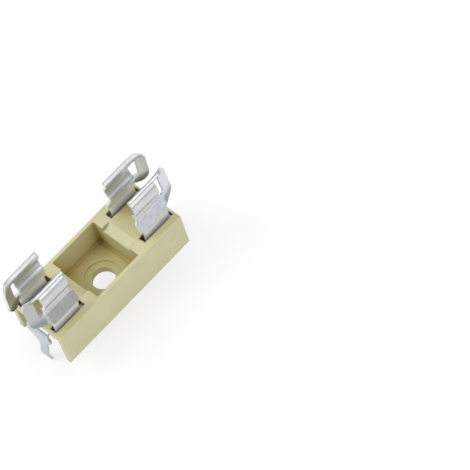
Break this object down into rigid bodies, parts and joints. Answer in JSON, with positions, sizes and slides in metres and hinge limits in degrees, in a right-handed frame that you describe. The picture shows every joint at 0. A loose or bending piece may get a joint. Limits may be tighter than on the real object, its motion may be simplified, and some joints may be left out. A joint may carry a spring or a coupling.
{
  "type": "pcb fuse holder",
  "caption": "Open circuit-board holder for a small cylindrical fuse: moulded base with a well and sprung sheet-metal clips whose tails are the solder pins.",
  "frame": {"origin": "middle of the base's board face, on the axis of the screw hole", "axes": "+X along the fuse, +Y across it, +Z out of the board towards the clips; the solder pins go below z = 0"},
  "size_m": [0.0258, 0.0092, 0.0171],
  "materials": {
    "base_plastic": "moulded, satin",
    "clip_metal": "bright tin plate on sheet metal"
  },
  "bodies": {
    "root": {"holder_base": "base_plastic", "clip_left": "clip_metal", "clip_right": "clip_metal"}
  },
  "joints": []
}
